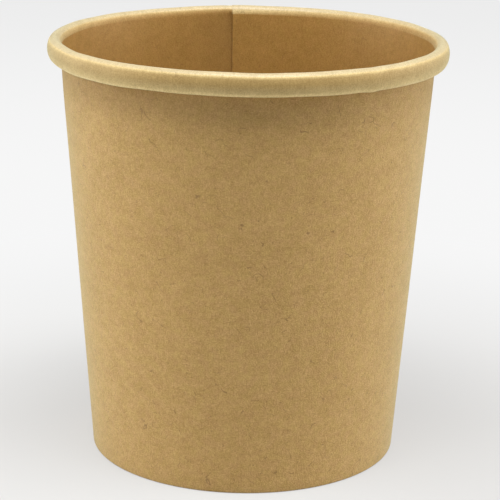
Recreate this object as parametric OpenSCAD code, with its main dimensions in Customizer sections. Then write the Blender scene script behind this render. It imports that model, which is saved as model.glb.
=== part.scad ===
// Brown paper soup bowl: a tapered paperboard sidewall with a rolled rim and one lap seam,
// and a pressed paperboard base held in the hem that is turned up inside the foot.
// The origin is the centre of the foot on the table, +Z is up, and the seam is on the +Y side.

/* [Bowl] */
// Outside diameter over the rolled rim
rim_od = 98; // [94:0.5:110]
// Outside diameter of the sidewall at the table
foot_od = 76.6; // [66:0.1:84]
// Height from the table to the top of the rim
bowl_h = 104; // [60:0.5:150]

/* [Board] */
// Thickness of the sidewall's board
wall_t = 0.45; // [0.3:0.01:0.5]
// Thickness of the base's board
base_t = 0.4; // [0.3:0.01:0.6]
// Film of sealing between two boards that are pressed together
seal_gap = 0.04; // [0.02:0.01:0.1]

/* [Rim] */
// Width of the rolled rim, across the roll
rim_w = 3.55; // [3.4:0.05:4.4]
// Height of the rolled rim
rim_h = 5.47; // [4.6:0.01:6.8]
// Gap between the sidewall and the board that comes back to it under the roll
roll_gap = 0.12; // [0.05:0.01:0.3]
// Length of board that is turned up inside the roll
roll_tail = 1.6; // [0.5:0.1:2]

/* [Seam] */
// Width of the lap, where the outer ply lies on the inner ply
lap_w = 7; // [4:0.5:12]
// Width of the ramp that lifts the outer ply over the inner ply's cut edge
ramp_w = 3; // [2:0.25:5]

/* [Foot] */
// Height of the bowl's floor over the table
floor_h = 8.5; // [8:0.1:14]
// Height of the hem that is turned up inside the foot
hem_h = 6.8; // [3:0.1:7]
// Outer radius of the two folds under the foot
fold_r = 0.5; // [0.5:0.01:0.6]
// Outer radius of the base's pressed edge
press_r = 1; // [0.6:0.05:1.5]

/* [Colours] */
// Colour of the sidewall's board
wall_colour = "#b89662"; // a colour name or a hex code
// Colour of the base's board
base_colour = "#a98552"; // a colour name or a hex code

/* [Hidden] */
$fn = 128;

// Stretches of the section that meet at a slant run this far into each other, so that they join.
knit = 0.02;

foot_r = foot_od / 2;

// The roll's outline is an oval of four arcs: end_r at its top and underside, and side_r at its flatter
// sides. They meet on lines that run 12 across and 5 up from their centres, so the oval closes exactly.
half_w = rim_w / 2;
half_h = rim_h / 2;
roll_k = (half_h - half_w) / 4;
end_r = half_h - 5 * roll_k;
side_r = half_w + 12 * roll_k;
roll_x = rim_od / 2 - half_w;
roll_z = bowl_h - half_h;
inner_side = [roll_x + 12 * roll_k, roll_z];

// The sidewall leans out at lean_a, so that its inner face runs into the roll's inner side.
lean_run = inner_side - [foot_r, 0];
lean_a = acos((side_r - wall_t) / norm(lean_run)) - atan2(lean_run[1], lean_run[0]);
wall_end = lean_run[0] * sin(lean_a) + lean_run[1] * cos(lean_a);

// Under the roll the board comes back to the sidewall on an arc of return_r.
under_roll = (roll_x - foot_r) * cos(lean_a) - (bowl_h - rim_h) * sin(lean_a) - roll_gap;
return_r = floor(1000 * under_roll / (1 + sin(lean_a))) / 1000;
tail_start = along_wall([roll_x - foot_r, bowl_h - rim_h + return_r]);

// Depths are measured square to the sidewall's outer face, towards the axis.
skirt_depth = wall_t + seal_gap;
hem_depth = skirt_depth + base_t + seal_gap + wall_t;

// Starts of the folds along the slope, and the flat strip of the foot between them.
outer_fold = slope_at(fold_r, fold_r);
inner_fold = slope_at(fold_r, hem_depth - fold_r);
strip_start = foot_r - (hem_depth - fold_r) * cos(lean_a) + inner_fold * sin(lean_a);
strip_w = (hem_depth - 2 * fold_r) * cos(lean_a) + (outer_fold - inner_fold) * sin(lean_a);

// Plan angle of the flat ramp that lifts the outer ply, at half the bowl's height.
mid_r = foot_r + bowl_h / 2 * tan(lean_a) - wall_t;
ramp_a = atan((mid_r + wall_t - sqrt(pow(mid_r, 2) - pow(ramp_w, 2))) / ramp_w);
ramp_top = roll_z + side_r * 5 / 13;

// Distance of a point of the section along the sidewall's slope.
function along_wall(p) = p[0] * sin(lean_a) + p[1] * cos(lean_a);

// Distance along the slope of a point that is at a depth in the wall and at a height over the table.
function slope_at(height, depth) = (height - depth * sin(lean_a)) / cos(lean_a);

// Puts a section drawn with x square to the sidewall and y along it in its place.
module on_slope() {
    translate([foot_r, 0]) rotate(-lean_a) children();
}

// A ray at an angle, long enough to bound an arc of the section.
function ray(a) = 13 * [cos(a), sin(a)];

// A curved band of board, whose outer radius is r, between two rays that are under 150 degrees apart.
module arc_band(centre, r, t, from, to) {
    translate(centre)
        intersection() {
            difference() {
                circle(r = r);
                circle(r = r - t);
            }
            polygon([[0, 0], from, from + to, to]);
        }
}

// Section of one ply of the sidewall's board, from the hem to the tail inside the roll.
// Ply 0 is the whole sheet. Ply 1 lies on its outer face, which is the roll's hidden face, and runs
// half a thickness into it, because the seal makes the two one.
module ply_section(ply) {
    shift = ply * wall_t;
    t = wall_t + shift / 2;
    on_slope() {
        // The straight wall
        translate([shift - t, outer_fold]) square([t, wall_end - outer_fold]);
        // The folds under the foot, and the hem
        arc_band([-fold_r, outer_fold], fold_r + shift, t, ray(lean_a - 90), ray(0));
        arc_band([fold_r - hem_depth, inner_fold], fold_r + shift, t, ray(180), ray(270 + lean_a));
        translate([-hem_depth - shift, inner_fold]) square([t, hem_h - inner_fold]);
        // The tail inside the roll
        translate([roll_gap + shift / 2, tail_start]) square([t, roll_tail]);
    }
    // The flat strip of the foot, between the two folds
    translate([strip_start - knit, -shift]) square([strip_w + 2 * knit, t]);
    translate([roll_x, roll_z]) roll_section(shift / 2, t);
}

// Section of the roll about its centre, from the wall's inner face over the top and back to the wall.
module roll_section(depth, t) {
    arc_band([12 * roll_k, 0], side_r - depth, t, ray(180 - lean_a), [-12, 5]);
    arc_band([0, 5 * roll_k], end_r - depth, t, [-12, 5], [12, 5]);
    arc_band([-12 * roll_k, 0], side_r - depth, t, [12, 5], [12, -5]);
    arc_band([0, -5 * roll_k], end_r - depth, t, [12, -5], [0, -13]);
    arc_band([0, return_r - half_h], return_r - depth, t, [0, -13], ray(180 - lean_a));
}

// A block at the seam, from one x to another and from one height to another.
module seam_block(x0, x1, z0, z1) {
    translate([x0, 0, z0]) cube([x1 - x0, rim_od, z1 - z0]);
}

// A slab along the ramp: its face at y = 0 is the face that rests on the inner ply's cut edge.
module ramp_slab(y0, y1) {
    length = 3 * ramp_w;
    translate([0, foot_r, 0])
        rotate([-lean_a, 0, 0])
            rotate([0, 0, ramp_a])
                translate([-length, y0, -wall_t]) cube([2 * length, y1 - y0, bowl_h]);
}

// Section of the zone that the ramp keeps to, so that it fades out into the roll's inner side.
module ramp_zone() {
    on_slope() translate([-wall_t, 0]) square([3 * wall_t, wall_end]);
    translate(inner_side) circle(r = side_r);
}

// The outer ply: it rises on the ramp, lies on the inner ply, and ends at its own cut edge.
module outer_ply() {
    intersection() {
        ramp_slab(0, wall_t);
        seam_block(-ramp_w, 0, 0, ramp_top);
        rotate_extrude() ramp_zone();
    }
    intersection() {
        rotate_extrude() ply_section(1);
        seam_block(0, lap_w, 0, bowl_h);
    }
}

// One sheet of board: hem, foot, wall and rolled rim, closed by the lap seam.
module sidewall() {
    color(wall_colour)
        union() {
            difference() {
                rotate_extrude() ply_section(0);
                intersection() {
                    ramp_slab(-2 * wall_t, 0);
                    seam_block(-ramp_w, 0, floor_h - press_r, ramp_top);
                }
            }
            outer_ply();
        }
}

// The base: a flat floor with a pressed edge, and a skirt that stands in the hem.
module base() {
    bend_depth = skirt_depth + press_r;
    bend_y = slope_at(floor_h - press_r, bend_depth);
    bend_x = foot_r - bend_depth * cos(lean_a) + bend_y * sin(lean_a);
    skirt_l = bend_y - slope_at(wall_t + seal_gap, skirt_depth);
    color(base_colour)
        rotate_extrude() {
            on_slope() {
                // The skirt hangs from the bend, so that the two meet exactly.
                translate([-skirt_depth - base_t, bend_y])
                    translate([0, -skirt_l]) square([base_t, skirt_l]);
                arc_band([-bend_depth, bend_y], press_r, base_t, ray(0), ray(90 + lean_a));
            }
            translate([0, floor_h - base_t]) square([bend_x + knit, base_t]);
        }
}

sidewall();
base();
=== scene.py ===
"""Brown paper soup bowl: its sidewall and base as sheets of board, their finishes and a pale studio."""

import logging
import math
from dataclasses import dataclass, field
from enum import Enum
from typing import ClassVar

import bpy
from mathutils import Matrix, Vector, noise


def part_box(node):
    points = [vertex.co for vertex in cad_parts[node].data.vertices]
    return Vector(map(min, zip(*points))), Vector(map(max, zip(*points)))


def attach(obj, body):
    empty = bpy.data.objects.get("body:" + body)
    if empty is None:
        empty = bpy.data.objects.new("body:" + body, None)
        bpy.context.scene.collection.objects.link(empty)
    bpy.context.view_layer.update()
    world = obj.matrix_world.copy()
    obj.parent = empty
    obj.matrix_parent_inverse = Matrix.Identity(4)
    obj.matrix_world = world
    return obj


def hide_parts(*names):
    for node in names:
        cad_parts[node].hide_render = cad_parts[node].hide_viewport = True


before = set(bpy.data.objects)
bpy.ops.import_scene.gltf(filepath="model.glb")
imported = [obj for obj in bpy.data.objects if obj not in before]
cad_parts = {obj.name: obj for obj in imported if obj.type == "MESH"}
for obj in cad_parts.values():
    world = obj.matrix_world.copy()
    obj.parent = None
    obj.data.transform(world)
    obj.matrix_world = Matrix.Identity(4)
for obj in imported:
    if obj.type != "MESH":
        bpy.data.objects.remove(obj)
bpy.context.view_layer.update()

log = logging.getLogger("soup_bowl")

MM = 0.001
TURN = 2 * math.pi
FRAME_DIGITS = 5

# Height, number of waves round the bowl and phase of a sine wave.
Wave = tuple[float, int, float]
# Red, green, blue and alpha of a linear colour.
Colour = tuple[float, float, float, float]


def ease(value: float) -> float:
    """Gives the smooth step of a value that runs from 0 to 1."""
    t = min(max(value, 0.0), 1.0)
    return t * t * (3 - 2 * t)


def waves(angle: float, *terms: Wave) -> float:
    """Adds up sine waves that close round the bowl.

    Args:
        angle: Angle round the axis, in radians.
        terms: Height, number of waves round the bowl and phase of each wave.

    Returns:
        The sum of the waves at that angle.
    """
    return sum(height * math.sin(count * angle + phase) for height, count, phase in terms)


class Skin(Enum):
    """The faces of a sheet of board, each with a finish of its own."""

    FOOD = 0
    OUTER = 1
    CUT = 2
    ROLL = 3


class Zone(Enum):
    """The stretches of the sidewall's sheet, from its folded edge to its rolled edge."""

    HEM = "hem"
    FOOT = "foot"
    WALL = "wall"
    ROLL = "roll"
    TAIL = "tail"


class Stretch(Enum):
    """The stretches of the sidewall's sheet on its way round, from its inner cut edge to its outer one."""

    UNDER = "under the lap"
    ROUND = "single"
    RAMP = "ramp"
    OVER = "over the lap"


@dataclass(frozen=True)
class BowlSizes:
    """Driving sizes of the bowl, in metres, and what follows from them.

    The centres of the roll's four arcs lie left, right, above and below its own centre. Two that are next
    to each other make a triangle with it, of 5, 12 and 13 units, so the arcs meet smoothly.
    """

    LEG_UP: ClassVar[int] = 5
    LEG_ACROSS: ClassVar[int] = 12
    LONG_SIDE: ClassVar[int] = 13

    rim_r: float
    height: float
    foot_r: float = 38.3 * MM
    wall_t: float = 0.45 * MM
    base_t: float = 0.4 * MM
    seal_gap: float = 0.04 * MM
    rim_w: float = 3.55 * MM
    rim_h: float = 5.47 * MM
    roll_gap: float = 0.12 * MM
    roll_tail: float = 1.6 * MM
    lap_w: float = 7 * MM
    ramp_w: float = 3 * MM
    floor_h: float = 8.5 * MM
    hem_h: float = 6.8 * MM
    fold_r: float = 0.5 * MM
    press_r: float = 1 * MM

    @property
    def roll_k(self) -> float:
        """Unit of the triangle that the centres of the roll's arcs make."""
        return (self.rim_h - self.rim_w) / (2 * (self.LEG_UP + self.LEG_ACROSS - self.LONG_SIDE))

    @property
    def end_r(self) -> float:
        """Radius of the roll at its top and underside."""
        return self.rim_h / 2 - self.LEG_UP * self.roll_k

    @property
    def side_r(self) -> float:
        """Radius of the roll's flatter sides."""
        return self.rim_w / 2 + self.LEG_ACROSS * self.roll_k

    @property
    def roll_x(self) -> float:
        """Radius at which the roll's centre stands."""
        return self.rim_r - self.rim_w / 2

    @property
    def roll_z(self) -> float:
        """Height of the roll's centre."""
        return self.height - self.rim_h / 2

    @property
    def run_x(self) -> float:
        """Distance outwards from the foot to the centre of the arc of the roll's inner side."""
        return self.roll_x + self.LEG_ACROSS * self.roll_k - self.foot_r

    @property
    def lean(self) -> float:
        """Angle at which the wall leans out, so that it runs into the roll's inner side."""
        reach = math.hypot(self.run_x, self.roll_z)
        return math.acos((self.side_r - self.wall_t) / reach) - math.atan2(self.roll_z, self.run_x)

    @property
    def wall_end(self) -> float:
        """Distance along the slope at which the wall runs into the roll."""
        return self.run_x * math.sin(self.lean) + self.roll_z * math.cos(self.lean)

    @property
    def skirt_depth(self) -> float:
        """Depth of the base's skirt behind the wall's outer face."""
        return self.wall_t + self.seal_gap

    @property
    def hem_depth(self) -> float:
        """Depth of the hem's face on the axis side."""
        return self.skirt_depth + self.base_t + self.seal_gap + self.wall_t

    @property
    def return_r(self) -> float:
        """Radius on which the board comes back to the wall under the roll.

        Returns:
            The radius, worked out from the room between the roll's lowest point and the wall.
        """
        sine, cosine = math.sin(self.lean), math.cos(self.lean)
        room = (self.roll_x - self.foot_r) * cosine - (self.height - self.rim_h) * sine - self.roll_gap
        return room / (1 + sine)

    def slope_at(self, height: float, depth: float) -> float:
        """Gives the distance along the slope of a point at a height and a depth."""
        return (height - depth * math.sin(self.lean)) / math.cos(self.lean)

    def on_slope(self, depth: float, along: float) -> tuple[float, float]:
        """Gives the radius and height of a point at a depth behind the wall's outer face."""
        sine, cosine = math.sin(self.lean), math.cos(self.lean)
        return self.foot_r - depth * cosine + along * sine, depth * sine + along * cosine


@dataclass(frozen=True)
class WearAndLight:
    """How forming has changed the board at a point, and the painted light and shade put on it. Each value
    runs from 0 to 1.
    """

    rolled: float = 0.0
    # Paler tone: fibres drawn out in bends and frayed at cut edges, and on the roll also painted highlight
    # and painted light bounced up from the floor.
    stretched_and_lit: float = 0.0
    # Paler crest: board pressed smooth, with a painted highlight in its colour.
    pressed: float = 0.0
    # Darker tone: sealant at the lap, and painted shade and painted shadow lines under the roll, at the
    # foot's fold and beside the lap.
    seal_and_shade: float = 0.0


@dataclass(frozen=True)
class Sample:
    """A point of a sheet's food face in section, with the way through the board and the run so far."""

    r: float
    z: float
    through: tuple[float, float]
    run: float
    zone: Zone


@dataclass
class Section:
    """The path of a sheet's food face in section, made of lines and arcs that follow on each other."""

    SAME_PLACE: ClassVar[float] = 1e-7
    SAME_WAY: ClassVar[float] = 1e-3

    samples: list[Sample] = field(default_factory=list)

    def add(self, r: float, z: float, through: tuple[float, float], zone: Zone) -> None:
        """Adds a point, unless it repeats the last one.

        Args:
            r: Radius of the point.
            z: Height of the point.
            through: Unit direction from the food face to the outer face.
            zone: Stretch of the sheet that it belongs to.
        """
        run = 0.0
        if self.samples:
            last = self.samples[-1]
            step = math.hypot(r - last.r, z - last.z)
            if step < self.SAME_PLACE and math.dist(through, last.through) < self.SAME_WAY:
                return
            run = last.run + step
        self.samples.append(Sample(r, z, through, run, zone))

    def line(self, start: tuple[float, float], end: tuple[float, float], through: tuple[float, float],
             count: int, zone: Zone) -> None:
        """Adds a straight stretch.

        Args:
            start: Radius and height of its first point.
            end: Radius and height of its last point.
            through: Unit direction from the food face to the outer face.
            count: Number of steps.
            zone: Stretch of the sheet that it belongs to.
        """
        for i in range(count + 1):
            t = i / count
            self.add(start[0] + (end[0] - start[0]) * t, start[1] + (end[1] - start[1]) * t, through, zone)

    def arc(self, centre: tuple[float, float], radius: float, start: float, end: float, count: int,
            zone: Zone, food_outside: bool = True) -> None:
        """Adds a curved stretch.

        Args:
            centre: Radius and height of the arc's centre.
            radius: Radius of the food face.
            start: Angle of its first point, in radians.
            end: Angle of its last point.
            count: Number of steps.
            zone: Stretch of the sheet that it belongs to.
            food_outside: True where the food face is on the outside of the bend.
        """
        side = -1 if food_outside else 1
        for i in range(count + 1):
            a = start + (end - start) * i / count
            c, s = math.cos(a), math.sin(a)
            self.add(centre[0] + radius * c, centre[1] + radius * s, (side * c, side * s), zone)


class BoardMesh:
    """A closed mesh of a sheet of board, made from the matching points of its two faces."""

    UV_NAME = "sheet"
    # The colour attribute holds the forming marks together with painted light and painted shade.
    WEAR_AND_LIGHT_NAME = "forming_wear_and_painted_light"

    def __init__(self, name: str) -> None:
        """Starts an empty mesh.

        Args:
            name: Name of the piece.
        """
        self.name = name
        self.points: list[Vector] = []
        self.flat: list[tuple[float, float]] = []
        self.wear: list[WearAndLight] = []
        self.faces: list[tuple[int, ...]] = []
        self.skins: list[Skin] = []

    def point(self, place: Vector, flat: tuple[float, float], wear: WearAndLight = WearAndLight()) -> int:
        """Adds a point.

        Args:
            place: Its place, in metres.
            flat: Its place on the flat sheet before forming, in metres.
            wear: How forming has changed the board there, with the painted light and shade put on it.

        Returns:
            The point's number.
        """
        self.points.append(place)
        self.flat.append(flat)
        self.wear.append(wear)
        return len(self.points) - 1

    def face(self, corners: tuple[int, ...], skin: Skin) -> None:
        """Adds a face of one of the sheet's skins."""
        self.faces.append(corners)
        self.skins.append(skin)

    def strip(self, one: list[int], other: list[int], skin: Skin) -> None:
        """Joins two rows of points with a strip of faces."""
        for a, b, c, d in zip(one, one[1:], other[1:], other):
            self.face((a, b, c, d), skin)

    def build(self, materials: dict[Skin, bpy.types.Material], crease: float) -> bpy.types.Object:
        """Makes the object.

        Args:
            materials: Material of each skin.
            crease: Angle above which an edge is shaded as sharp, in radians.

        Returns:
            The new object, linked to the scene.
        """
        mesh = bpy.data.meshes.new(self.name)
        mesh.from_pydata([tuple(p) for p in self.points], [], self.faces)
        places = {skin: i for i, skin in enumerate(materials)}
        for material in materials.values():
            mesh.materials.append(material)
        mesh.polygons.foreach_set("material_index", [places[skin] for skin in self.skins])
        mesh.polygons.foreach_set("use_smooth", [True] * len(self.faces))
        layer = mesh.uv_layers.new(name=self.UV_NAME)
        spots = [0.0] * (2 * len(mesh.loops))
        for i, loop in enumerate(mesh.loops):
            spots[2 * i], spots[2 * i + 1] = self.flat[loop.vertex_index]
        layer.data.foreach_set("uv", spots)
        wear = mesh.attributes.new(name=self.WEAR_AND_LIGHT_NAME, type="FLOAT_COLOR", domain="POINT")
        wear.data.foreach_set("color", [value for at in self.wear
                                        for value in (at.rolled, at.stretched_and_lit, at.pressed, at.seal_and_shade)])
        mesh.update()
        mesh.set_sharp_from_angle(angle=crease)
        piece = bpy.data.objects.new(self.name, mesh)
        bpy.context.scene.collection.objects.link(piece)
        return piece


@dataclass(frozen=True)
class Kink:
    """A small dent or swelling that the rolling left in the rim."""

    angle: float
    width: float
    drop: float
    push: float
    swell: float = 0.0

    def pull(self, angle: float) -> float:
        """Gives how far a point at an angle takes part in the kink, from 0 to 1."""
        off = (angle - self.angle + math.pi) % TURN - math.pi
        return math.exp(-((off / self.width) ** 2))


@dataclass(frozen=True)
class OuterMarks:
    """How forming marks the outer face, and where shade is painted on it: shares from 0 to 1, lengths, and
    angles in degrees.
    """

    # Painted shade in a band under the roll, deeper at the left front and the right back of the bowl.
    band: float = 0.34
    band_waves: tuple[Wave, ...] = ((0.17, 2, -0.35),)
    band_start: float = 10 * MM
    band_run: float = 9 * MM
    # Painted shade on the foot's fold, where the contact shadow falls.
    fold: float = 0.55
    fold_start: float = 15
    fold_run: float = 45
    # Painted shadow line at the foot of the lap's outer cut edge, with squeezed-out sealant.
    seal_and_shadow: float = 0.7
    seal_steps: int = 2
    frayed: float = 0.6
    frayed_start: float = 0.9


@dataclass(frozen=True)
class FoodMarks:
    """How rolling and the lap's sealant mark the food face, and where light and shade are painted on it:
    shares from 0 to 1, and angles in degrees.

    The facing of a point on the roll is 0 where it looks outwards, 90 where it looks up and 180 where it
    looks at the axis. The look of the wall ends, and that of the roll begins, at the inner edge's facing.
    """

    # Painted shadow line at the foot of the lap's inner cut edge, with squeezed-out sealant.
    lap: float = 0.45
    lap_start: float = 0.8
    lap_run: float = 0.15
    # Painted shade on the wall beside the lap, fading away from the seam.
    beside_lap_shade: float = 0.6
    beside_run: float = 14
    # Paler return under the roll: fibres drawn out in the tight bend, and painted light bounced up from the
    # floor.
    tail: float = 0.7
    inner: float = 173
    inner_past_seam: float = 12
    inner_before_seam: float = -5
    inner_run: float = 25
    dip: float = 8
    dip_place: float = 95
    dip_width: float = 35
    rolled_run: float = 45
    # Paler front shoulder of the roll: a painted highlight, strongest at the front and back of the bowl and
    # weakest on the two sides that face the side lamps.
    shoulder: float = 0.6
    shoulder_waves: tuple[Wave, ...] = ((-0.2, 2, -1.75),)
    shoulder_start: float = 16
    shoulder_run: float = 15
    shoulder_end_run: float = 30
    # Paler lower edge of the roll: fibres drawn out in the bend, and painted light bounced up from the
    # floor.
    edge: float = 0.92
    edge_start: float = 6
    edge_run: float = 46
    # Paler tone all over the roll's outside: partly board that differs round the bowl, partly painted light
    # on the two sides that face the side lamps.
    uneven_and_end_light: float = 0.07
    uneven_waves: tuple[Wave, ...] = ((0.07, 2, -1.75), (0.02, 1, math.pi))
    # Paler pressed crest, with a painted highlight in its colour.
    crest_start: float = 29
    crest_run: float = 22
    crest_margin: float = 13
    crest_end_run: float = 30
    seal_start: float = 150
    seal_run: float = 20

    def inner_edge(self, off: float) -> float:
        """Gives the facing of the roll's inner edge.

        Args:
            off: Angle past the seam, in degrees. It is below 0 on the other side of the seam.

        Returns:
            The facing in degrees.
        """
        beside = self.inner_past_seam if off >= 0 else self.inner_before_seam
        dip = self.dip * math.exp(-(((off - self.dip_place) / self.dip_width) ** 2))
        return self.inner + beside * math.exp(-abs(off) / self.inner_run) - dip


@dataclass
class Sidewall:
    """The wrapped sheet: hem, foot, wall and rolled rim, closed by the lap seam."""

    sizes: BowlSizes
    name: str = "sidewall_board"
    crease: float = math.radians(50)
    round_steps: int = 400
    lap_steps: int = 10
    ramp_steps: int = 8
    hem_steps: int = 8
    fold_steps: int = 7
    foot_steps: int = 2
    wall_steps: int = 44
    inner_steps: int = 5
    crest_steps: int = 14
    outer_steps: int = 9
    tail_steps: int = 3
    roll_step: float = 0.12 * MM
    fuse_run: float = 2.2 * MM
    crushed_lap: float = 0.2 * MM
    crushed_ply: float = 0.05 * MM
    roll_blend: float = 9 * MM
    roll_margin: float = 1 * MM
    crest_share: float = 0.25
    wall_swell: float = 0.12 * MM
    swell_turns: float = 2.2
    swell_run: float = 45 * MM
    face_shift: float = 0.4
    rim_swell: tuple[Wave, ...] = ((0.012, 3, 0.8), (0.008, 11, 2.1), (0.006, 23, 0.3))
    rim_out: tuple[Wave, ...] = ((0.10 * MM, 2, 1.0), (0.05 * MM, 5, 0.2), (0.03 * MM, 9, 2.6))
    rim_rise: tuple[Wave, ...] = ((0.07 * MM, 2, 0.4), (0.04 * MM, 7, 1.7), (0.02 * MM, 17, 0.9))
    outer_marks: OuterMarks = OuterMarks()
    food_marks: FoodMarks = FoodMarks()
    kinks: tuple[Kink, ...] = (
        Kink(math.radians(149.5), math.radians(2.2), 0.22 * MM, 0.08 * MM),
        Kink(math.radians(-17), math.radians(3.0), 0.12 * MM, -0.1 * MM),
        Kink(math.radians(22), math.radians(2.5), 0.1 * MM, -0.08 * MM),
        Kink(math.radians(243), math.radians(4.0), 0.1 * MM, 0.08 * MM),
        Kink(math.radians(104), math.radians(26), 0.06 * MM, 0.03 * MM, 0.02),
        Kink(math.radians(268), math.radians(28), -0.16 * MM, 0.0),
    )

    def section(self) -> Section:
        """Gives the path of the food face, from the hem's edge to the tail inside the roll.

        Returns:
            The whole section.
        """
        path = Section()
        self.add_foot_and_wall(path)
        self.add_roll(path)
        return path

    def add_foot_and_wall(self, path: Section) -> None:
        """Adds the hem, the fold at the foot and the wall.

        Args:
            path: Section that the stretches are added to.
        """
        s = self.sizes
        sine, cosine = math.sin(s.lean), math.cos(s.lean)
        outward, inward, down = (cosine, -sine), (-cosine, sine), (0.0, -1.0)
        hem = s.hem_depth - s.wall_t
        bend = s.fold_r - s.wall_t
        bottom = 3 * math.pi / 2
        outer_fold = s.slope_at(s.fold_r, s.fold_r)
        inner_fold = s.slope_at(s.fold_r, s.hem_depth - s.fold_r)
        fold_in = s.on_slope(s.hem_depth - s.fold_r, inner_fold)
        fold_out = s.on_slope(s.fold_r, outer_fold)
        path.line(s.on_slope(hem, s.hem_h), s.on_slope(hem, inner_fold), inward, self.hem_steps, Zone.HEM)
        path.arc(fold_in, bend, math.pi - s.lean, bottom, self.fold_steps, Zone.FOOT, food_outside=False)
        path.line((fold_in[0], s.wall_t), (fold_out[0], s.wall_t), down, self.foot_steps, Zone.FOOT)
        path.arc(fold_out, bend, bottom, TURN - s.lean, self.fold_steps, Zone.FOOT, food_outside=False)
        path.line(s.on_slope(s.wall_t, outer_fold), s.on_slope(s.wall_t, s.wall_end), outward,
                  self.wall_steps, Zone.WALL)

    def add_roll(self, path: Section) -> None:
        """Adds the rolled rim and the tail of the sheet inside it.

        Args:
            path: Section that the stretches are added to.
        """
        s = self.sizes
        sine, cosine = math.sin(s.lean), math.cos(s.lean)
        joint = math.atan2(s.LEG_UP, s.LEG_ACROSS)
        half = math.pi / 2
        across, up = s.LEG_ACROSS * s.roll_k, s.LEG_UP * s.roll_k
        inner, outer = (s.roll_x + across, s.roll_z), (s.roll_x - across, s.roll_z)
        top, under = (s.roll_x, s.roll_z + up), (s.roll_x, s.roll_z - up)
        back = (s.roll_x, s.height - s.rim_h + s.return_r)
        path.arc(inner, s.side_r, math.pi - s.lean, math.pi - joint, self.inner_steps, Zone.ROLL)
        path.arc(top, s.end_r, math.pi - joint, joint, self.crest_steps, Zone.ROLL)
        path.arc(outer, s.side_r, joint, -joint, self.outer_steps, Zone.ROLL)
        path.arc(under, s.end_r, -joint, -half, self.fold_steps, Zone.ROLL)
        path.arc(back, s.return_r, -half, -math.pi - s.lean, self.fold_steps, Zone.TAIL)
        start = (back[0] - s.foot_r) * sine + back[1] * cosine
        end = start + s.roll_tail
        path.line(s.on_slope(-s.roll_gap, start), s.on_slope(-s.roll_gap, end), (cosine, -sine),
                  self.tail_steps, Zone.TAIL)

    def stations(self) -> list[tuple[Stretch, float]]:
        """Gives the places round the sheet, from the inner cut edge to the outer one.

        Returns:
            The stretch of each place and the part of that stretch, from 0 to 1.
        """
        steps = {Stretch.UNDER: self.lap_steps, Stretch.ROUND: self.round_steps,
                 Stretch.RAMP: self.ramp_steps, Stretch.OVER: self.lap_steps}
        places = [(stretch, i / count) for stretch, count in steps.items() for i in range(count)]
        return places + [(Stretch.OVER, 1.0)]

    def angle_at(self, stretch: Stretch, part: float, r: float) -> float:
        """Gives the angle of a station, clockwise from the seam as seen from above.

        Args:
            stretch: Stretch of the sheet.
            part: Part of the stretch, from 0 to 1.
            r: Radius at which the point stands.

        Returns:
            The angle in radians. It passes a full turn where the outer ply lies over the lap.
        """
        lap = math.asin(self.sizes.lap_w / r)
        ramp = math.asin(self.sizes.ramp_w / r)
        if stretch is Stretch.UNDER:
            return math.asin(self.sizes.lap_w * part / r)
        if stretch is Stretch.ROUND:
            return lap + (TURN - ramp - lap) * part
        if stretch is Stretch.RAMP:
            return TURN - math.asin(self.sizes.ramp_w * (1 - part) / r)
        return TURN + math.asin(self.sizes.lap_w * part / r)

    def lift_at(self, stretch: Stretch, part: float, sample: Sample) -> float:
        """Gives how far the sheet is lifted off its own circle to lie over the inner ply.

        Args:
            stretch: Stretch of the sheet.
            part: Part of the stretch, from 0 to 1.
            sample: Point of the section.

        Returns:
            The lift towards the outer face, in metres.
        """
        share = {Stretch.RAMP: ease(part), Stretch.OVER: 1.0}.get(stretch, 0.0)
        return share * (self.roll_lift(sample) if sample.zone is Zone.ROLL else self.sizes.wall_t)

    def roll_lift(self, sample: Sample) -> float:
        """Gives the lift on the roll, where the plies are crushed into each other.

        Args:
            sample: Point of the section.

        Returns:
            The lift towards the outer face, in metres.
        """
        s = self.sizes
        fade = ease((sample.z - s.roll_z) / self.fuse_run) if sample.r < s.roll_x else 1.0
        return s.wall_t + (self.roll_step - s.wall_t) * fade

    def outer_wear_and_shade(self, stretch: Stretch, part: float, sample: Sample, angle: float) -> WearAndLight:
        """Gives how forming has changed the outer face at a point of the section, and the shade painted on
        it.

        Args:
            stretch: Stretch of the sheet.
            part: Part of the stretch, from 0 to 1.
            sample: Point of the section.
            angle: Angle of the point, in radians.

        Returns:
            The wear and the painted shade. Painted shade darkens a band under the roll and the foot's fold,
            a painted shadow line with squeezed-out sealant lies at the foot of the lap's cut edge, and the
            cut edge is frayed pale.
        """
        s, marks = self.sizes, self.outer_marks
        # Painted shade in a band under the roll, where the roll's shadow falls.
        painted_shade = marks.band + waves(angle, *marks.band_waves)
        painted_shade *= ease((sample.z - (s.height - s.rim_h - marks.band_start)) / marks.band_run)
        # Painted shade on the foot's fold, where the contact shadow falls.
        if sample.zone is Zone.FOOT:
            facing = math.degrees(math.atan2(sample.through[1], sample.through[0]))
            painted_shade = marks.fold * ease((-facing - marks.fold_start) / marks.fold_run)
        seal_shadow_line, frayed = 0.0, 0.0
        # Painted shadow line at the foot of the outer cut edge, with squeezed-out sealant.
        if stretch is Stretch.ROUND:
            seal_shadow_line = marks.seal_and_shadow * max(0.0, 1 - part * self.round_steps / marks.seal_steps)
        elif stretch is Stretch.OVER:
            frayed = marks.frayed * ease((part - marks.frayed_start) / (1 - marks.frayed_start))
        return WearAndLight(stretched_and_lit=frayed, seal_and_shade=max(painted_shade, seal_shadow_line))

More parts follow.
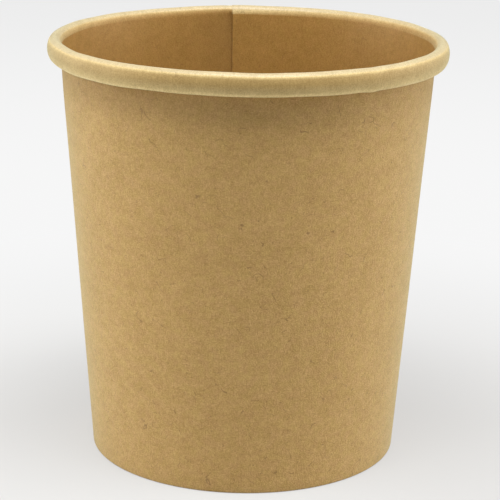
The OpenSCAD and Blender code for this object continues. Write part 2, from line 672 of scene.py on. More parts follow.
    def food_wear_and_light(self, stretch: Stretch, part: float, sample: Sample, angle: float) -> WearAndLight:
        """Gives how rolling and the lap's sealant have changed the food face at a point of the section, and
        the light and shade painted on it.

        Args:
            stretch: Stretch of the sheet.
            part: Part of the stretch, from 0 to 1.
            sample: Point of the section.
            angle: Angle of the point, in radians.

        Returns:
            The wear and the painted light and shade. The roll's front shoulder is paler as a painted
            highlight, and its lower edge is paler from fibres drawn out in the bend and from painted light
            bounced up from the floor.
            Its crest is pressed smooth and paler, with a painted highlight in its colour. Painted shade and
            a painted shadow line with squeezed-out sealant darken the board along the lap.
        """
        marks = self.food_marks
        ramp = {Stretch.RAMP: part, Stretch.OVER: 1.0}.get(stretch, 0.0)
        off = math.degrees((angle + math.pi) % TURN - math.pi)
        # Painted shadow line at the foot of the inner cut edge, with squeezed-out sealant.
        seal_and_shade = marks.lap * ease((ramp - marks.lap_start) / marks.lap_run)
        # Painted shade on the wall beside the lap.
        if off < 0:
            seal_and_shade += marks.beside_lap_shade * math.exp(off / marks.beside_run)
        # The return under the roll is paler: fibres drawn out in the bend, and painted light bounced up
        # from the floor.
        if sample.zone is Zone.TAIL:
            return WearAndLight(rolled=1.0, stretched_and_lit=marks.tail)
        if sample.zone is not Zone.ROLL:
            return WearAndLight(seal_and_shade=seal_and_shade)
        facing = math.degrees(math.atan2(-sample.through[1], -sample.through[0]))
        inner = marks.inner_edge(off)
        # Painted highlight on the roll's front shoulder.
        shoulders = marks.shoulder + waves(angle, *marks.shoulder_waves)
        shoulders *= ease((facing - marks.shoulder_start) / marks.shoulder_run)
        shoulders *= ease((inner - facing) / marks.shoulder_end_run)
        # Paler lower edge: fibres drawn out in the bend, and painted light bounced up from the floor.
        edge = marks.edge * ease((marks.edge_start - facing) / marks.edge_run)
        # Paler all round, most on the two sides that face the side lamps: board that differs round the
        # bowl, and painted light.
        uneven_and_end_light = marks.uneven_and_end_light + waves(angle, *marks.uneven_waves)
        # Pressed crest, paler with a painted highlight.
        crest = ease((facing - marks.crest_start) / marks.crest_run)
        crest *= ease((inner - marks.crest_margin - facing) / marks.crest_end_run)
        return WearAndLight(rolled=ease((inner - facing) / marks.rolled_run),
                    stretched_and_lit=uneven_and_end_light + (1 - uneven_and_end_light) * max(edge, shoulders),
                    pressed=crest,
                    seal_and_shade=seal_and_shade * ease((facing - marks.seal_start) / marks.seal_run))

    def settle(self, r: float, z: float, angle: float) -> tuple[float, float]:
        """Moves a point by the small unevenness that forming leaves in the board.

        Args:
            r: Radius of the point.
            z: Height of the point.
            angle: Angle of the point, in radians.

        Returns:
            The settled radius and height.
        """
        s = self.sizes
        share = ease((z - (s.height - s.rim_h - self.roll_blend)) / self.roll_blend)
        swell = 1 + waves(angle, *self.rim_swell) * share
        swell += sum(kink.swell * kink.pull(angle) for kink in self.kinks) * share
        if z > s.height - s.rim_h - self.roll_margin:
            r = s.roll_x + (r - s.roll_x) * swell
            z = s.roll_z + (z - s.roll_z) * swell
        r += share * waves(angle, *self.rim_out)
        z += share * waves(angle, *self.rim_rise)
        for kink in self.kinks:
            pull = share * kink.pull(angle)
            below = 1 if z < s.roll_z else self.crest_share
            r += pull * kink.push
            z -= pull * kink.drop * below
        middle = math.sin(math.pi * min(max(z / s.height, 0), 1))
        spot = Vector((math.sin(angle) * self.swell_turns, math.cos(angle) * self.swell_turns,
                       z / self.swell_run))
        r += middle * self.wall_swell * noise.noise(spot)
        return r, max(z, 0.0)

    def flat_spot(self, sample: Sample, angle: float) -> tuple[float, float]:
        """Gives the place of a point on the flat fan of board before it was wrapped.

        Args:
            sample: Point of the section.
            angle: Angle of the point, in radians.

        Returns:
            The place in metres.
        """
        s = self.sizes
        reach = s.foot_r / math.sin(s.lean) + sample.run
        turn = (angle - math.pi) * math.sin(s.lean)
        return reach * math.sin(turn), reach * math.cos(turn)

    def foot_height(self, z: float, stretch: Stretch, is_outer: bool) -> float:
        """Keeps the foot flat on the table, with the plies of the lap crushed into each other.

        Args:
            z: Height of the point before the plies are crushed.
            stretch: Stretch of the sheet.
            is_outer: True for the outer face, which stands on the table.

        Returns:
            The height of the point in metres.
        """
        least = self.crushed_lap if stretch is Stretch.UNDER else 0.0
        if not is_outer:
            least += self.crushed_ply
        return max(z, least)

    def add_points(self, mesh: BoardMesh,
                   samples: list[Sample]) -> tuple[list[list[int]], list[list[int]]]:
        """Adds the points of both faces, station by station.

        Args:
            mesh: Mesh that is being built.
            samples: Points of the section.

        Returns:
            The rows of the food face and those of the outer face.
        """
        food: list[list[int]] = []
        outer: list[list[int]] = []
        for stretch, part in self.stations():
            food.append([])
            outer.append([])
            for sample in samples:
                angle = self.angle_at(stretch, part, sample.r)
                lift = self.lift_at(stretch, part, sample)
                for rows, depth in ((food, lift), (outer, lift + self.sizes.wall_t)):
                    is_outer = rows is outer
                    r = sample.r + sample.through[0] * depth
                    z = sample.z + sample.through[1] * depth
                    if sample.zone is Zone.FOOT:
                        z = self.foot_height(z, stretch, is_outer)
                    r, z = self.settle(r, z, angle)
                    u, v = self.flat_spot(sample, angle)
                    wear = (self.outer_wear_and_shade if is_outer else self.food_wear_and_light)(stretch, part, sample, angle)
                    place = Vector((r * math.sin(angle), r * math.cos(angle), z))
                    rows[-1].append(mesh.point(place, (u + self.face_shift * is_outer, v), wear))
        return food, outer

    def build(self, materials: dict[Skin, bpy.types.Material]) -> bpy.types.Object:
        """Makes the wrapped sheet and puts it in the frame.

        Args:
            materials: Material of each skin.

        Returns:
            The finished piece.
        """
        mesh = BoardMesh(self.name)
        samples = self.section().samples
        food, outer = self.add_points(mesh, samples)
        bend = next(i for i, sample in enumerate(samples) if sample.zone is Zone.ROLL)
        for one, other in zip(food, food[1:]):
            mesh.strip(other[:bend + 1], one[:bend + 1], Skin.FOOD)
            mesh.strip(other[bend:], one[bend:], Skin.ROLL)
        for one, other in zip(outer, outer[1:]):
            mesh.strip(one, other, Skin.OUTER)
        mesh.strip(food[0], outer[0], Skin.CUT)
        mesh.strip(outer[-1], food[-1], Skin.CUT)
        mesh.strip([row[0] for row in outer], [row[0] for row in food], Skin.CUT)
        mesh.strip([row[-1] for row in food], [row[-1] for row in outer], Skin.CUT)
        piece = mesh.build(materials, self.crease)
        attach(piece, "root")
        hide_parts("sidewall")
        return piece


@dataclass
class Base:
    """The pressed disc: a flat floor, a bent edge and a skirt that stands in the hem."""

    sizes: BowlSizes
    name: str = "base_board"
    crease: float = math.radians(50)
    columns: int = 320
    skirt_steps: int = 8
    press_steps: int = 8
    floor_steps: int = 34
    middle_r: float = 0.6 * MM
    pleats: tuple[Wave, ...] = ((0.02 * MM, 61, 0.0), (0.015 * MM, 97, 1.1), (0.01 * MM, 143, 0.5))
    pleat_width: float = 5 * MM
    pleat_run: float = 3.5 * MM
    pleat_low: float = 5 * MM
    pleat_rise: float = 2 * MM
    floor_low: float = 6 * MM
    sag: float = 0.18 * MM
    ripple: float = 0.05 * MM
    ripple_width: float = 16 * MM
    food_shift: float = 0.8
    outer_shift: float = 1.0

    def section(self) -> Section:
        """Gives the path of the food face, from the skirt's lower edge to the middle of the floor.

        Returns:
            The whole section.
        """
        s = self.sizes
        outward = (math.cos(s.lean), -math.sin(s.lean))
        bend_depth = s.skirt_depth + s.press_r
        bend = s.on_slope(bend_depth, s.slope_at(s.floor_h - s.press_r, bend_depth))
        low = s.on_slope(s.skirt_depth, s.slope_at(s.wall_t + s.seal_gap, s.skirt_depth))
        high = (bend[0] + outward[0] * s.press_r, bend[1] + outward[1] * s.press_r)
        path = Section()
        path.line(low, high, (-outward[0], -outward[1]), self.skirt_steps, Zone.WALL)
        path.arc(bend, s.press_r, -s.lean, math.pi / 2, self.press_steps, Zone.WALL)
        path.line((bend[0], s.floor_h), (self.middle_r, s.floor_h), (0.0, -1.0), self.floor_steps,
                  Zone.WALL)
        return path

    def settle(self, r: float, z: float, angle: float) -> tuple[float, float]:
        """Moves a point by the shallow pleats of the pressed edge and the floor's slight sag.

        Args:
            r: Radius of the point.
            z: Height of the point.
            angle: Angle of the point, in radians.

        Returns:
            The settled radius and height.
        """
        s = self.sizes
        near_edge = ease((r - (s.foot_r - self.pleat_width)) / self.pleat_run)
        near_edge *= ease((z - self.pleat_low) / self.pleat_rise)
        r_settled = r - abs(waves(angle, *self.pleats)) * near_edge
        if z <= self.floor_low:
            return r_settled, z
        spot = Vector((r * math.sin(angle), r * math.cos(angle), 0.0)) / self.ripple_width
        sag = self.sag * (1 - (r / s.foot_r) ** 2)
        return r_settled, z - sag + self.ripple * noise.noise(spot) * (1 - near_edge)

    def build(self, materials: dict[Skin, bpy.types.Material]) -> bpy.types.Object:
        """Makes the pressed disc and puts it in the frame.

        Args:
            materials: Material of each skin.

        Returns:
            The finished piece.
        """
        mesh = BoardMesh(self.name)
        samples = self.section().samples
        length = samples[-1].run + samples[-1].r
        rows: dict[Skin, list[list[int]]] = {Skin.FOOD: [], Skin.OUTER: []}
        faces = ((Skin.FOOD, 0.0, self.food_shift), (Skin.OUTER, self.sizes.base_t, self.outer_shift))
        for i in range(self.columns):
            angle = TURN * i / self.columns
            for skin, depth, shift in faces:
                row = []
                for sample in samples:
                    r, z = self.settle(sample.r + sample.through[0] * depth,
                                       sample.z + sample.through[1] * depth, angle)
                    out = length - sample.run
                    flat = (out * math.sin(angle) + shift, out * math.cos(angle))
                    row.append(mesh.point(Vector((r * math.sin(angle), r * math.cos(angle), z)), flat))
                rows[skin].append(row)
        for skin, columns in rows.items():
            for one, other in zip(columns, columns[1:] + columns[:1]):
                pair = (other, one) if skin is Skin.FOOD else (one, other)
                mesh.strip(*pair, skin)
            self.close_middle(mesh, columns, skin)
        food, outer = rows[Skin.FOOD], rows[Skin.OUTER]
        rim_food = [row[0] for row in food + food[:1]]
        rim_outer = [row[0] for row in outer + outer[:1]]
        mesh.strip(rim_outer, rim_food, Skin.CUT)
        piece = mesh.build(materials, self.crease)
        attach(piece, "root")
        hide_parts("base")
        return piece

    def close_middle(self, mesh: BoardMesh, columns: list[list[int]], skin: Skin) -> None:
        """Closes the floor round its middle point.

        Args:
            mesh: Mesh that is being built.
            columns: Points of one face, column by column.
            skin: Face that is closed.
        """
        ring = [row[-1] for row in columns]
        centre = sum((mesh.points[i] for i in ring), Vector()) / len(ring)
        flats = [mesh.flat[i] for i in ring]
        flat = (sum(f[0] for f in flats) / len(flats), sum(f[1] for f in flats) / len(flats))
        middle = mesh.point(centre, flat)
        for a, b in zip(ring, ring[1:] + ring[:1]):
            mesh.face((b, a, middle) if skin is Skin.FOOD else (a, b, middle), skin)


class NodeSheet:
    """A short way to place and join shader nodes in one tree."""

    def __init__(self, tree: bpy.types.NodeTree) -> None:
        """Takes the tree that the nodes go in."""
        self.tree = tree

    def add(self, kind: str, inputs: dict[str | int, object] | None = None,
            **settings: object) -> bpy.types.Node:
        """Adds a node.

        Args:
            kind: Blender's name of the node type.
            inputs: Value or source socket of each input, by name or number.
            settings: Properties of the node.

        Returns:
            The new node.
        """
        node = self.tree.nodes.new(kind)
        for key, value in settings.items():
            setattr(node, key, value)
        for key, value in (inputs or {}).items():
            if isinstance(value, bpy.types.NodeSocket):
                self.tree.links.new(value, node.inputs[key])
            else:
                node.inputs[key].default_value = value
        return node

    def maths(self, operation: str, *values: object) -> bpy.types.NodeSocket:
        """Adds a Math node and gives its result."""
        return self.add("ShaderNodeMath", dict(enumerate(values)), operation=operation).outputs[0]

    def total(self, *terms: tuple[bpy.types.NodeSocket, object]) -> bpy.types.NodeSocket:
        """Adds up values, each of them times a number or another value.

        Args:
            terms: Value and factor of each term.

        Returns:
            The sum.
        """
        parts = [self.maths("MULTIPLY", value, factor) for value, factor in terms]
        result = parts[0]
        for part in parts[1:]:
            result = self.maths("ADD", result, part)
        return result

    def remap(self, value: bpy.types.NodeSocket, low: float, high: float,
              to_low: float = 0.0, to_high: float = 1.0) -> bpy.types.NodeSocket:
        """Stretches a value from one range to another with soft ends."""
        spans = {"Value": value, "From Min": low, "From Max": high, "To Min": to_low, "To Max": to_high}
        return self.add("ShaderNodeMapRange", spans, interpolation_type="SMOOTHSTEP").outputs["Result"]

    def noise(self, vector: bpy.types.NodeSocket, size: float, detail: float = 3, rough: float = 0.6,
              distortion: float = 0.0) -> bpy.types.NodeSocket:
        """Adds a noise.

        Args:
            vector: Place at which it is read.
            size: Width of its patches, in the units of the place.
            detail: Number of finer layers.
            rough: Strength of each finer layer beside the one before it.
            distortion: How far its patches are bent.

        Returns:
            The noise's value, about 0.5 in the middle.
        """
        settings = {"Vector": vector, "Scale": 1 / size, "Detail": detail, "Roughness": rough,
                    "Distortion": distortion}
        return self.add("ShaderNodeTexNoise", settings).outputs["Fac"]

    def blend(self, share: object, one: object, other: object, mode: str = "MIX") -> bpy.types.NodeSocket:
        """Mixes two colours and gives the result."""
        node = self.add("ShaderNodeMix", {0: share, 6: one, 7: other}, data_type="RGBA", blend_type=mode)
        return node.outputs[2]


def cleared_sheet(owner: bpy.types.Material | bpy.types.World) -> NodeSheet:
    """Takes the nodes out of a material or a world.

    Args:
        owner: Material or world.

    Returns:
        The sheet of its empty node tree.
    """
    owner.use_nodes = True
    owner.node_tree.nodes.clear()
    return NodeSheet(owner.node_tree)


class GroupBuilder:
    """Starts a shader node group with named inputs and outputs."""

    def __init__(self, name: str, inputs: dict[str, tuple[str, float]], outputs: tuple[str, ...]) -> None:
        """Makes the group's interface.

        Args:
            name: Name of the group.
            inputs: Socket type and default of each input.
            outputs: Name of each output, all of them plain values.
        """
        self.group = bpy.data.node_groups.new(name, "ShaderNodeTree")
        for label, (kind, default) in inputs.items():
            socket = self.group.interface.new_socket(name=label, in_out="INPUT", socket_type=kind)
            if kind == "NodeSocketFloat":
                socket.default_value = default
        for label in outputs:
            self.group.interface.new_socket(name=label, in_out="OUTPUT", socket_type="NodeSocketFloat")
        self.sheet = NodeSheet(self.group)
        self.source = self.sheet.add("NodeGroupInput")
        self.sink = self.sheet.add("NodeGroupOutput")

    def given(self, label: str) -> bpy.types.NodeSocket:
        """Gives one of the group's inputs."""
        return self.source.outputs[label]

    def put(self, label: str, value: bpy.types.NodeSocket) -> None:
        """Joins a value to one of the group's outputs."""
        self.group.links.new(value, self.sink.inputs[label])


@dataclass(frozen=True)
class Strands:
    """A crop of short curved fibres: the shift, size and line width of its noise, and its rarity."""

    shift: float
    size: float
    width: float
    rarity: float


@dataclass(frozen=True)
class PulpPattern:
    """The pattern of unbleached pulp. Sizes are in millimetres, and depths are shares of the shade."""

    cloud_size: float = 13
    cloud_depth: float = 0.06
    patch_size: float = 3.2
    patch_depth: float = 0.10
    felt_size: float = 1.0
    felt_depth: float = 0.13
    fine_size: float = 0.33
    fine_depth: float = 0.30
    streak_size: float = 0.45
    streak_depth: float = 0.13
    streak_squeeze: float = 0.35
    tint_size: float = 2.6
    spread_half: float = 0.2
    tint_half: float = 0.16
    crops: tuple[Strands, ...] = (Strands(33, 4.2, 0.010, 0.60), Strands(81, 3.1, 0.010, 0.61),
                                  Strands(151, 6.0, 0.007, 0.60))
    drift: tuple[float, ...] = (1.0, 0.7, 1.3)
    bend: float = 0.35
    gate_size: float = 0.62
    gate_run: float = 0.05
    fleck_cell: float = 2.2
    fleck_near: float = 0.05
    fleck_far: float = 0.16
    fleck_rarity: float = 0.62
    fleck_full: float = 0.9
    fine_height: float = 0.6
    patch_height: float = 0.4
    streak_height: float = 0.4
    fibre_height: float = 0.5

    def build(self) -> bpy.types.NodeTree:
        """Builds the node group: shade, tint, fibres, flecks and the surface's height.

        Returns:
            The node group. Its vector is a place on the flat sheet, in millimetres.
        """
        inputs = {"Vector": ("NodeSocketVector", 0.0), "Cloud": ("NodeSocketFloat", 1.0),
                  "Grain": ("NodeSocketFloat", 1.0), "Fibre": ("NodeSocketFloat", 1.0),
                  "Fleck": ("NodeSocketFloat", 1.0)}
        build = GroupBuilder("pulp_pattern", inputs, ("Shade", "Tint", "Fibres", "Flecks", "Height"))
        n = build.sheet
        place = build.given("Vector")
        cloud = self.spread(n, place, self.cloud_size)
        patch = self.spread(n, place, self.patch_size, 3)
        felt = self.spread(n, place, self.felt_size)
        fine = self.spread(n, place, self.fine_size)
        drawn = n.add("ShaderNodeMapping", {"Vector": place, "Scale": (1.0, self.streak_squeeze, 1.0)})
        streak = self.spread(n, drawn.outputs[0], self.streak_size)
        soft = n.total((cloud, self.cloud_depth), (patch, self.patch_depth))
        crisp = n.total((fine, self.fine_depth), (streak, self.streak_depth), (felt, self.felt_depth))
        build.put("Shade", n.total((soft, build.given("Cloud")), (crisp, build.given("Grain"))))
        tint = n.noise(place, self.tint_size)
        build.put("Tint", n.remap(tint, 0.5 - self.tint_half, 0.5 + self.tint_half))
        fibres = self.strands(n, place, self.crops[0])
        for crop in self.crops[1:]:
            fibres = n.maths("MAXIMUM", fibres, self.strands(n, place, crop))
        build.put("Fibres", n.maths("MULTIPLY", fibres, build.given("Fibre")))
        build.put("Flecks", n.maths("MULTIPLY", self.flecks(n, place), build.given("Fleck")))
        build.put("Height", n.total((fine, self.fine_height), (patch, self.patch_height),
                                    (streak, self.streak_height), (fibres, self.fibre_height)))
        return build.group

    def spread(self, n: NodeSheet, place: bpy.types.NodeSocket, size: float,
               detail: float = 2) -> bpy.types.NodeSocket:
        """Gives a noise that runs from about -0.5 to 0.5."""
        value = n.noise(place, size, detail)
        return n.remap(value, 0.5 - self.spread_half, 0.5 + self.spread_half, -0.5, 0.5)

    def strands(self, n: NodeSheet, place: bpy.types.NodeSocket, crop: Strands) -> bpy.types.NodeSocket:
        """Draws short curved fibres as the level line of a noise, cut up by a second noise.

        Args:
            n: Sheet that the nodes go in.
            place: Place on the flat sheet.
            crop: Crop of fibres that is drawn.

        Returns:
            A mask that is 1 on the fibres.
        """
        shift = tuple(crop.shift * part for part in self.drift)
        moved = n.add("ShaderNodeVectorMath", {0: place, 1: shift}, operation="ADD").outputs[0]
        level = n.maths("SUBTRACT", n.noise(moved, crop.size, 1, 0.4, self.bend), 0.5)
        line = n.remap(n.maths("ABSOLUTE", level), 0.0, crop.width, 1.0, 0.0)
        gate = n.remap(n.noise(moved, crop.size * self.gate_size, 1, 0.5), crop.rarity,
                       crop.rarity + self.gate_run)
        return n.maths("MULTIPLY", line, gate)

    def flecks(self, n: NodeSheet, place: bpy.types.NodeSocket) -> bpy.types.NodeSocket:
        """Draws small dark flecks in some of the cells of a random pattern.

        Args:
            n: Sheet that the nodes go in.
            place: Place on the flat sheet.

        Returns:
            A mask that is 1 on the flecks.
        """
        cells = n.add("ShaderNodeTexVoronoi", {"Vector": place, "Scale": 1 / self.fleck_cell,
                                               "Randomness": 1.0})
        chance = n.add("ShaderNodeSeparateColor", {0: cells.outputs["Color"]}).outputs[0]
        dot = n.remap(cells.outputs["Distance"], self.fleck_near, self.fleck_far, 1.0, 0.0)
        return n.maths("MULTIPLY", dot, n.remap(chance, self.fleck_rarity, self.fleck_full))


class Change(Enum):
    """The ways in which forming changes the board, as channels of the wear on a mesh. On the roll, the
    paler tones of these channels are partly painted highlight and painted light bounced up from the floor.
    """

    ROLLED = 0
    STRETCHED_AND_LIT = 1
    PRESSED_AND_LIT = 2


@dataclass(frozen=True)
class BoardFinish:
    """A finish of brown board. FOLLOW is how far red, green and blue each follow the pulp's shade."""

    FOLLOW: ClassVar[tuple[float, ...]] = (0.85, 1.0, 1.3)
    FIBRE_DEPTH: ClassVar[float] = 0.75
    FLECK_DEPTH: ClassVar[float] = 0.6
    HEIGHT_HALF: ClassVar[float] = 0.4
    SHEEN_ROUGH: ClassVar[float] = 0.4
    SHEEN_TINT: ClassVar[Colour] = (0.80, 1.0, 0.76, 1)

    name: str
    colour: Colour
    tint: Colour
    dark: Colour
    rough: float
    rough_span: float
    bump: float
    cloud: float = 1.0
    grain: float = 1.0
    fibre: float = 0.8
    fleck: float = 0.6
    coat: float = 0.0
    coat_rough: float = 0.3
    specular: float = 0.3
    sheen: float = 0.0
    # Darkening by the fourth channel: sealant, and painted shade and painted shadow lines.
    seal_and_shade_dark: float = 0.0
    # Tones by channel; the roll's paler tones are partly painted highlight and painted floor bounce.
    worn_and_lit_tones: tuple[tuple[Change, Colour], ...] = ()
    pressed_coat: float | None = None

    def build(self, pulp: bpy.types.NodeTree) -> bpy.types.Material:
        """Makes the material.

        Args:
            pulp: Node group with the pattern of the pulp.

        Returns:
            The new material.
        """
        material = bpy.data.materials.new(self.name)
        n = cleared_sheet(material)
        spot = n.add("ShaderNodeUVMap", uv_map=BoardMesh.UV_NAME)
        place = n.add("ShaderNodeVectorMath", {0: spot.outputs[0], "Scale": 1 / MM}, operation="SCALE")
        pattern = n.add("ShaderNodeGroup", node_tree=pulp)
        n.tree.links.new(place.outputs[0], pattern.inputs["Vector"])
        for label, value in (("Cloud", self.cloud), ("Grain", self.grain), ("Fibre", self.fibre),
                             ("Fleck", self.fleck)):
            pattern.inputs[label].default_value = value
        coat: object = self.coat
        base = n.blend(pattern.outputs["Tint"], self.colour, self.tint)
        if self.seal_and_shade_dark:
            base, coat = self.wear_and_painted_light(n, base)
        shades = [n.maths("MULTIPLY_ADD", pattern.outputs["Shade"], depth, 1.0) for depth in self.FOLLOW]
        lit = n.add("ShaderNodeCombineColor", dict(enumerate(shades))).outputs[0]
        base = n.blend(1.0, base, lit, "MULTIPLY")
        for label, depth in (("Fibres", self.FIBRE_DEPTH), ("Flecks", self.FLECK_DEPTH)):
            base = n.blend(n.maths("MULTIPLY", pattern.outputs[label], depth), base, self.dark)
        height = pattern.outputs["Height"]
        rough = n.remap(height, -self.HEIGHT_HALF, self.HEIGHT_HALF, self.rough + self.rough_span,
                        self.rough - self.rough_span)
        bump = n.add("ShaderNodeBump", {"Height": height, "Strength": 1.0, "Distance": self.bump})
        shader = n.add("ShaderNodeBsdfPrincipled", {
            "Base Color": base, "Roughness": rough, "Normal": bump.outputs[0], "Coat Weight": coat,
            "Coat Roughness": self.coat_rough, "Specular IOR Level": self.specular,
            "Sheen Weight": self.sheen, "Sheen Roughness": self.SHEEN_ROUGH, "Sheen Tint": self.SHEEN_TINT})
        n.add("ShaderNodeOutputMaterial", {"Surface": shader.outputs[0]})
        return material

    def wear_and_painted_light(self, n: NodeSheet, base: bpy.types.NodeSocket) -> tuple[bpy.types.NodeSocket, object]:
        """Adds the colours and the gloss that forming gives the board, with the painted light and shade on
        the same marks.

        Args:
            n: Sheet that the nodes go in.
            base: Colour of the board before forming.

        Returns:
            The colour after forming, and the weight of the coating.
        """
        wear = n.add("ShaderNodeAttribute", attribute_name=BoardMesh.WEAR_AND_LIGHT_NAME)
        # Darkens by the fourth channel: sealant, and painted shade and painted shadow lines.
        base = n.blend(n.maths("MULTIPLY", wear.outputs["Alpha"], self.seal_and_shade_dark), base, self.dark)
        if not self.worn_and_lit_tones:
            return base, self.coat
        masks = n.add("ShaderNodeSeparateColor", {0: wear.outputs["Color"]}).outputs
        # Paler tones by channel; on the roll partly painted highlight and painted light bounced up from the
        # floor.
        for change, tone in self.worn_and_lit_tones:
            base = n.blend(masks[change.value], base, tone)
        if self.pressed_coat is None:
            return base, self.coat
        return base, n.remap(masks[Change.PRESSED_AND_LIT.value], 0.0, 1.0, self.coat, self.pressed_coat)


OUTER_DARK: Colour = (0.20, 0.105, 0.035, 1)
FOOD_DARK: Colour = (0.18, 0.095, 0.030, 1)
FOOD_BROWN: Colour = (0.376, 0.209, 0.048, 1)
FOOD_TINT: Colour = (0.396, 0.214, 0.053, 1)

# Its darkening is painted shade under the roll and on the foot's fold, and a painted shadow line with
# sealant at the lap's cut edge; its paler tone is the frayed cut edge.
BROWN_OUTER = BoardFinish(
    "brown_board_outer", (0.503, 0.322, 0.107, 1), (0.514, 0.316, 0.118, 1), OUTER_DARK,
    rough=0.76, rough_span=0.08, bump=0.04 * MM, sheen=0.33, seal_and_shade_dark=0.55,
    worn_and_lit_tones=((Change.STRETCHED_AND_LIT, (0.68, 0.49, 0.25, 1)),))
# Its darkening is sealant with a painted shadow line at the lap's cut edge, and painted shade beside the
# lap.
BROWN_FOOD = BoardFinish(
    "brown_board_coated", FOOD_BROWN, FOOD_TINT, FOOD_DARK,
    rough=0.58, rough_span=0.06, bump=0.018 * MM, grain=0.8, fibre=0.5, fleck=0.5, coat=0.15, seal_and_shade_dark=0.5)
# On the roll, the second tone is drawn-out fibres with painted highlight and painted floor bounce, and the
# third is the pressed crest with a painted highlight; the darkening is sealant and painted shade along the
# lap.
BROWN_ROLL = BoardFinish(
    "brown_board_rolled", FOOD_BROWN, FOOD_TINT, FOOD_DARK,
    rough=0.62, rough_span=0.07, bump=0.022 * MM, grain=0.8, fibre=0.4, fleck=0.3, coat_rough=0.40,
    sheen=0.27, seal_and_shade_dark=0.5, pressed_coat=0.75,
    worn_and_lit_tones=((Change.ROLLED, (0.390, 0.258, 0.090, 1)), (Change.STRETCHED_AND_LIT, (0.82, 0.630, 0.295, 1)),
          (Change.PRESSED_AND_LIT, (0.55, 0.435, 0.238, 1))))
BROWN_CUT = BoardFinish(
    "brown_board_cut_edge", (0.56, 0.38, 0.17, 1), (0.60, 0.41, 0.19, 1), (0.30, 0.17, 0.06, 1),
    rough=0.88, rough_span=0.05, bump=0.03 * MM, fibre=0.3, fleck=0.2, specular=0.2)
BASE_UNDER = BoardFinish(
    "brown_board_base_under", (0.47, 0.300, 0.100, 1), (0.49, 0.300, 0.116, 1), OUTER_DARK,
    rough=0.80, rough_span=0.07, bump=0.045 * MM, cloud=1.2, fleck=0.7, sheen=0.2)


@dataclass(frozen=True)
class SoftLight:
    """A square soft light that looks at the bowl."""

    name: str
    place: tuple[float, float, float]
    aim: tuple[float, float, float]
    width: float
    height: float
    power: float

    def build(self) -> bpy.types.Object:
        """Makes the light and links it to the scene.

        Returns:
            The new light.
        """
        lamp = bpy.data.lights.new(self.name, "AREA")
        lamp.shape = "RECTANGLE"
        lamp.size = self.width
        lamp.size_y = self.height
        lamp.energy = self.power
        piece = bpy.data.objects.new(self.name, lamp)
        piece.location = self.place
        piece.rotation_euler = (Vector(self.aim) - Vector(self.place)).to_track_quat("-Z", "Y").to_euler()
        bpy.context.scene.collection.objects.link(piece)
        return piece


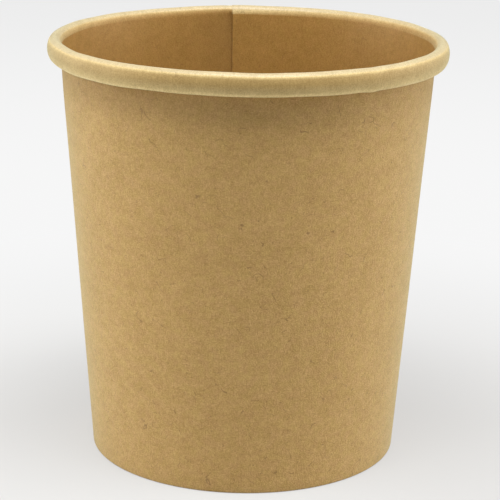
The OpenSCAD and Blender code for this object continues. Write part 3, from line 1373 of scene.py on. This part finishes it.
@dataclass
class Studio:
    """Floor, soft lights, surroundings and the camera at the photograph's viewing angle."""

    WHITE: ClassVar[Colour] = (1, 1, 1, 1)

    sizes: BowlSizes
    lens: float = 140.03
    sensor: float = 36.0
    clip_near: float = 0.01
    clip_far: float = 20
    distance: float = 488.5 * MM
    azimuth: float = math.radians(-5.4)
    elevation: float = math.radians(15.85)
    roll: float = math.radians(0.934)
    aim_right: float = 1.197 * MM
    aim_down: float = 2.156 * MM
    floor_half: float = 3.0
    floor_rough: float = 0.85
    floor_specular: float = 0.2
    floor_left: Colour = (0.510, 0.510, 0.498, 1)
    # Painted shade: the floor darkens towards the right side.
    floor_right_shade: Colour = (0.425, 0.418, 0.405, 1)
    left_end: float = -0.10
    right_end: float = 0.12
    cloud_size: float = 0.4
    cloud_depth: float = 0.1
    near_start: float = 0.05
    near_end: float = 0.20
    # Painted pool of light: the floor's brightness dims between these distances from the bowl.
    far_start: float = 0.25
    far_end: float = 0.80
    paper_near: float = 0.51
    paper_white: float = 0.925
    paper_far: float = 0.84
    surround: float = 0.17
    lights: tuple[SoftLight, ...] = (
        SoftLight("light_above", (0.0, -0.30, 1.05), (0.0, 0.0, 0.05), 1.0, 0.38, 15.0),
        SoftLight("light_left", (-1.0, 0.20, 0.30), (0.0, 0.0, 0.06), 0.9, 0.7, 8.8),
        SoftLight("light_right", (1.0, 0.04, 0.36), (0.0, 0.0, 0.08), 0.9, 0.7, 7.8),
    )

    def build(self) -> None:
        """Builds the whole studio."""
        for light in self.lights:
            light.build()
        self.build_floor()
        self.build_surroundings()
        self.build_camera()
        bpy.context.scene.view_settings.view_transform = "Standard"

    def seen_directly(self, n: NodeSheet) -> bpy.types.NodeSocket:
        """Gives 1 for a ray from the camera, also through something clear, and 0 for other rays."""
        path = n.add("ShaderNodeLightPath")
        return n.maths("MAXIMUM", path.outputs["Is Camera Ray"], path.outputs["Is Transmission Ray"])

    def build_floor(self) -> bpy.types.Object:
        """Makes the pale floor, which shows paler the farther it is from the bowl, out to 0.2 m. Beyond
        0.25 m it dims again towards 0.8 m, as a painted pool of light round the bowl.

        Returns:
            The floor.
        """
        half = self.floor_half
        mesh = bpy.data.meshes.new("studio_floor")
        mesh.from_pydata([(-half, -half, 0), (half, -half, 0), (half, half, 0), (-half, half, 0)], [],
                         [(0, 1, 2, 3)])
        floor = bpy.data.objects.new("studio_floor", mesh)
        bpy.context.scene.collection.objects.link(floor)
        material = bpy.data.materials.new("pale_floor")
        n = cleared_sheet(material)
        place = n.add("ShaderNodeTexCoord").outputs["Object"]
        east = n.add("ShaderNodeSeparateXYZ", {0: place}).outputs[0]
        # Painted shade towards the right side of the floor.
        across = n.remap(east, self.left_end, self.right_end)
        cloud = n.remap(n.noise(place, self.cloud_size, 2), 0.3, 0.7, -self.cloud_depth, self.cloud_depth)
        colour = n.blend(n.maths("ADD", across, cloud), self.floor_left, self.floor_right_shade)
        paper = n.add("ShaderNodeBsdfPrincipled", {"Base Color": colour, "Roughness": self.floor_rough,
                                                   "Specular IOR Level": self.floor_specular})
        away = n.add("ShaderNodeVectorMath", {0: place}, operation="LENGTH").outputs["Value"]
        near = n.remap(away, self.near_start, self.near_end, self.paper_near, 1.0)
        # Painted pool of light round the bowl.
        light_pool = n.remap(away, self.far_start, self.far_end, self.paper_white, self.paper_far)
        white = n.add("ShaderNodeEmission", {"Color": self.WHITE, "Strength": light_pool})
        share = n.maths("MULTIPLY", self.seen_directly(n), near)
        shader = n.add("ShaderNodeMixShader", {0: share, 1: paper.outputs[0], 2: white.outputs[0]})
        n.add("ShaderNodeOutputMaterial", {"Surface": shader.outputs[0]})
        mesh.materials.append(material)
        return floor

    def build_surroundings(self) -> None:
        """Lights the bowl evenly from all round, and shows pale where a ray from the camera leaves."""
        world = bpy.data.worlds.new("studio_surroundings")
        n = cleared_sheet(world)
        fill = n.add("ShaderNodeBackground", {"Color": self.WHITE, "Strength": self.surround})
        white = n.add("ShaderNodeBackground", {"Color": self.WHITE, "Strength": self.paper_far})
        mixed = n.add("ShaderNodeMixShader", {0: self.seen_directly(n), 1: fill.outputs[0],
                                              2: white.outputs[0]})
        n.add("ShaderNodeOutputWorld", {"Surface": mixed.outputs[0]})
        bpy.context.scene.world = world

    def build_camera(self) -> bpy.types.Object:
        """Makes the camera and aims it.

        Returns:
            The camera.
        """
        data = bpy.data.cameras.new("camera")
        data.lens = self.lens
        data.sensor_width = self.sensor
        data.sensor_fit = "HORIZONTAL"
        data.clip_start = self.clip_near
        data.clip_end = self.clip_far
        camera = bpy.data.objects.new("camera", data)
        bpy.context.scene.collection.objects.link(camera)
        centre = Vector((0, 0, self.sizes.height / 2))
        level = math.cos(self.elevation)
        back = Vector((math.sin(self.azimuth) * level, -math.cos(self.azimuth) * level,
                       math.sin(self.elevation)))
        right = Vector((math.cos(self.azimuth), math.sin(self.azimuth), 0))
        up = back.cross(right)
        aim = centre + right * self.aim_right - up * self.aim_down
        place = centre + back * self.distance
        turn = (aim - place).to_track_quat("-Z", "Y").to_matrix() @ Matrix.Rotation(self.roll, 3, "Z")
        camera.matrix_world = Matrix.Translation(place) @ turn.to_4x4()
        bpy.context.scene.camera = camera
        return camera


@dataclass
class SoupBowl:
    """The whole bowl: the sidewall and the base, with their finishes."""

    sizes: BowlSizes

    def finishes(self) -> tuple[dict[Skin, bpy.types.Material], dict[Skin, bpy.types.Material]]:
        """Makes the materials.

        Returns:
            The materials of the sidewall's skins and those of the base's skins.
        """
        pulp = PulpPattern().build()
        outer, food, cut = (finish.build(pulp) for finish in (BROWN_OUTER, BROWN_FOOD, BROWN_CUT))
        roll, under = BROWN_ROLL.build(pulp), BASE_UNDER.build(pulp)
        return ({Skin.FOOD: food, Skin.OUTER: outer, Skin.CUT: cut, Skin.ROLL: roll},
                {Skin.FOOD: food, Skin.OUTER: under, Skin.CUT: cut})

    def build(self) -> None:
        """Builds both pieces and reports them."""
        wall_skins, base_skins = self.finishes()
        pieces = Sidewall(self.sizes).build(wall_skins), Base(self.sizes).build(base_skins)
        for piece in pieces:
            log.info("%s: %d faces, %d materials", piece.name, len(piece.data.polygons),
                     len(piece.data.materials))


def main() -> None:
    """Builds the bowl from the frame's sizes, then the studio round it."""
    logging.basicConfig(level=logging.INFO, format="%(name)s: %(message)s")
    low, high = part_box("sidewall")
    sizes = BowlSizes(rim_r=round((high[0] - low[0]) / 2, FRAME_DIGITS),
                      height=round(high[2], FRAME_DIGITS))
    SoupBowl(sizes).build()
    Studio(sizes).build()


if __name__ == "__main__":
    main()
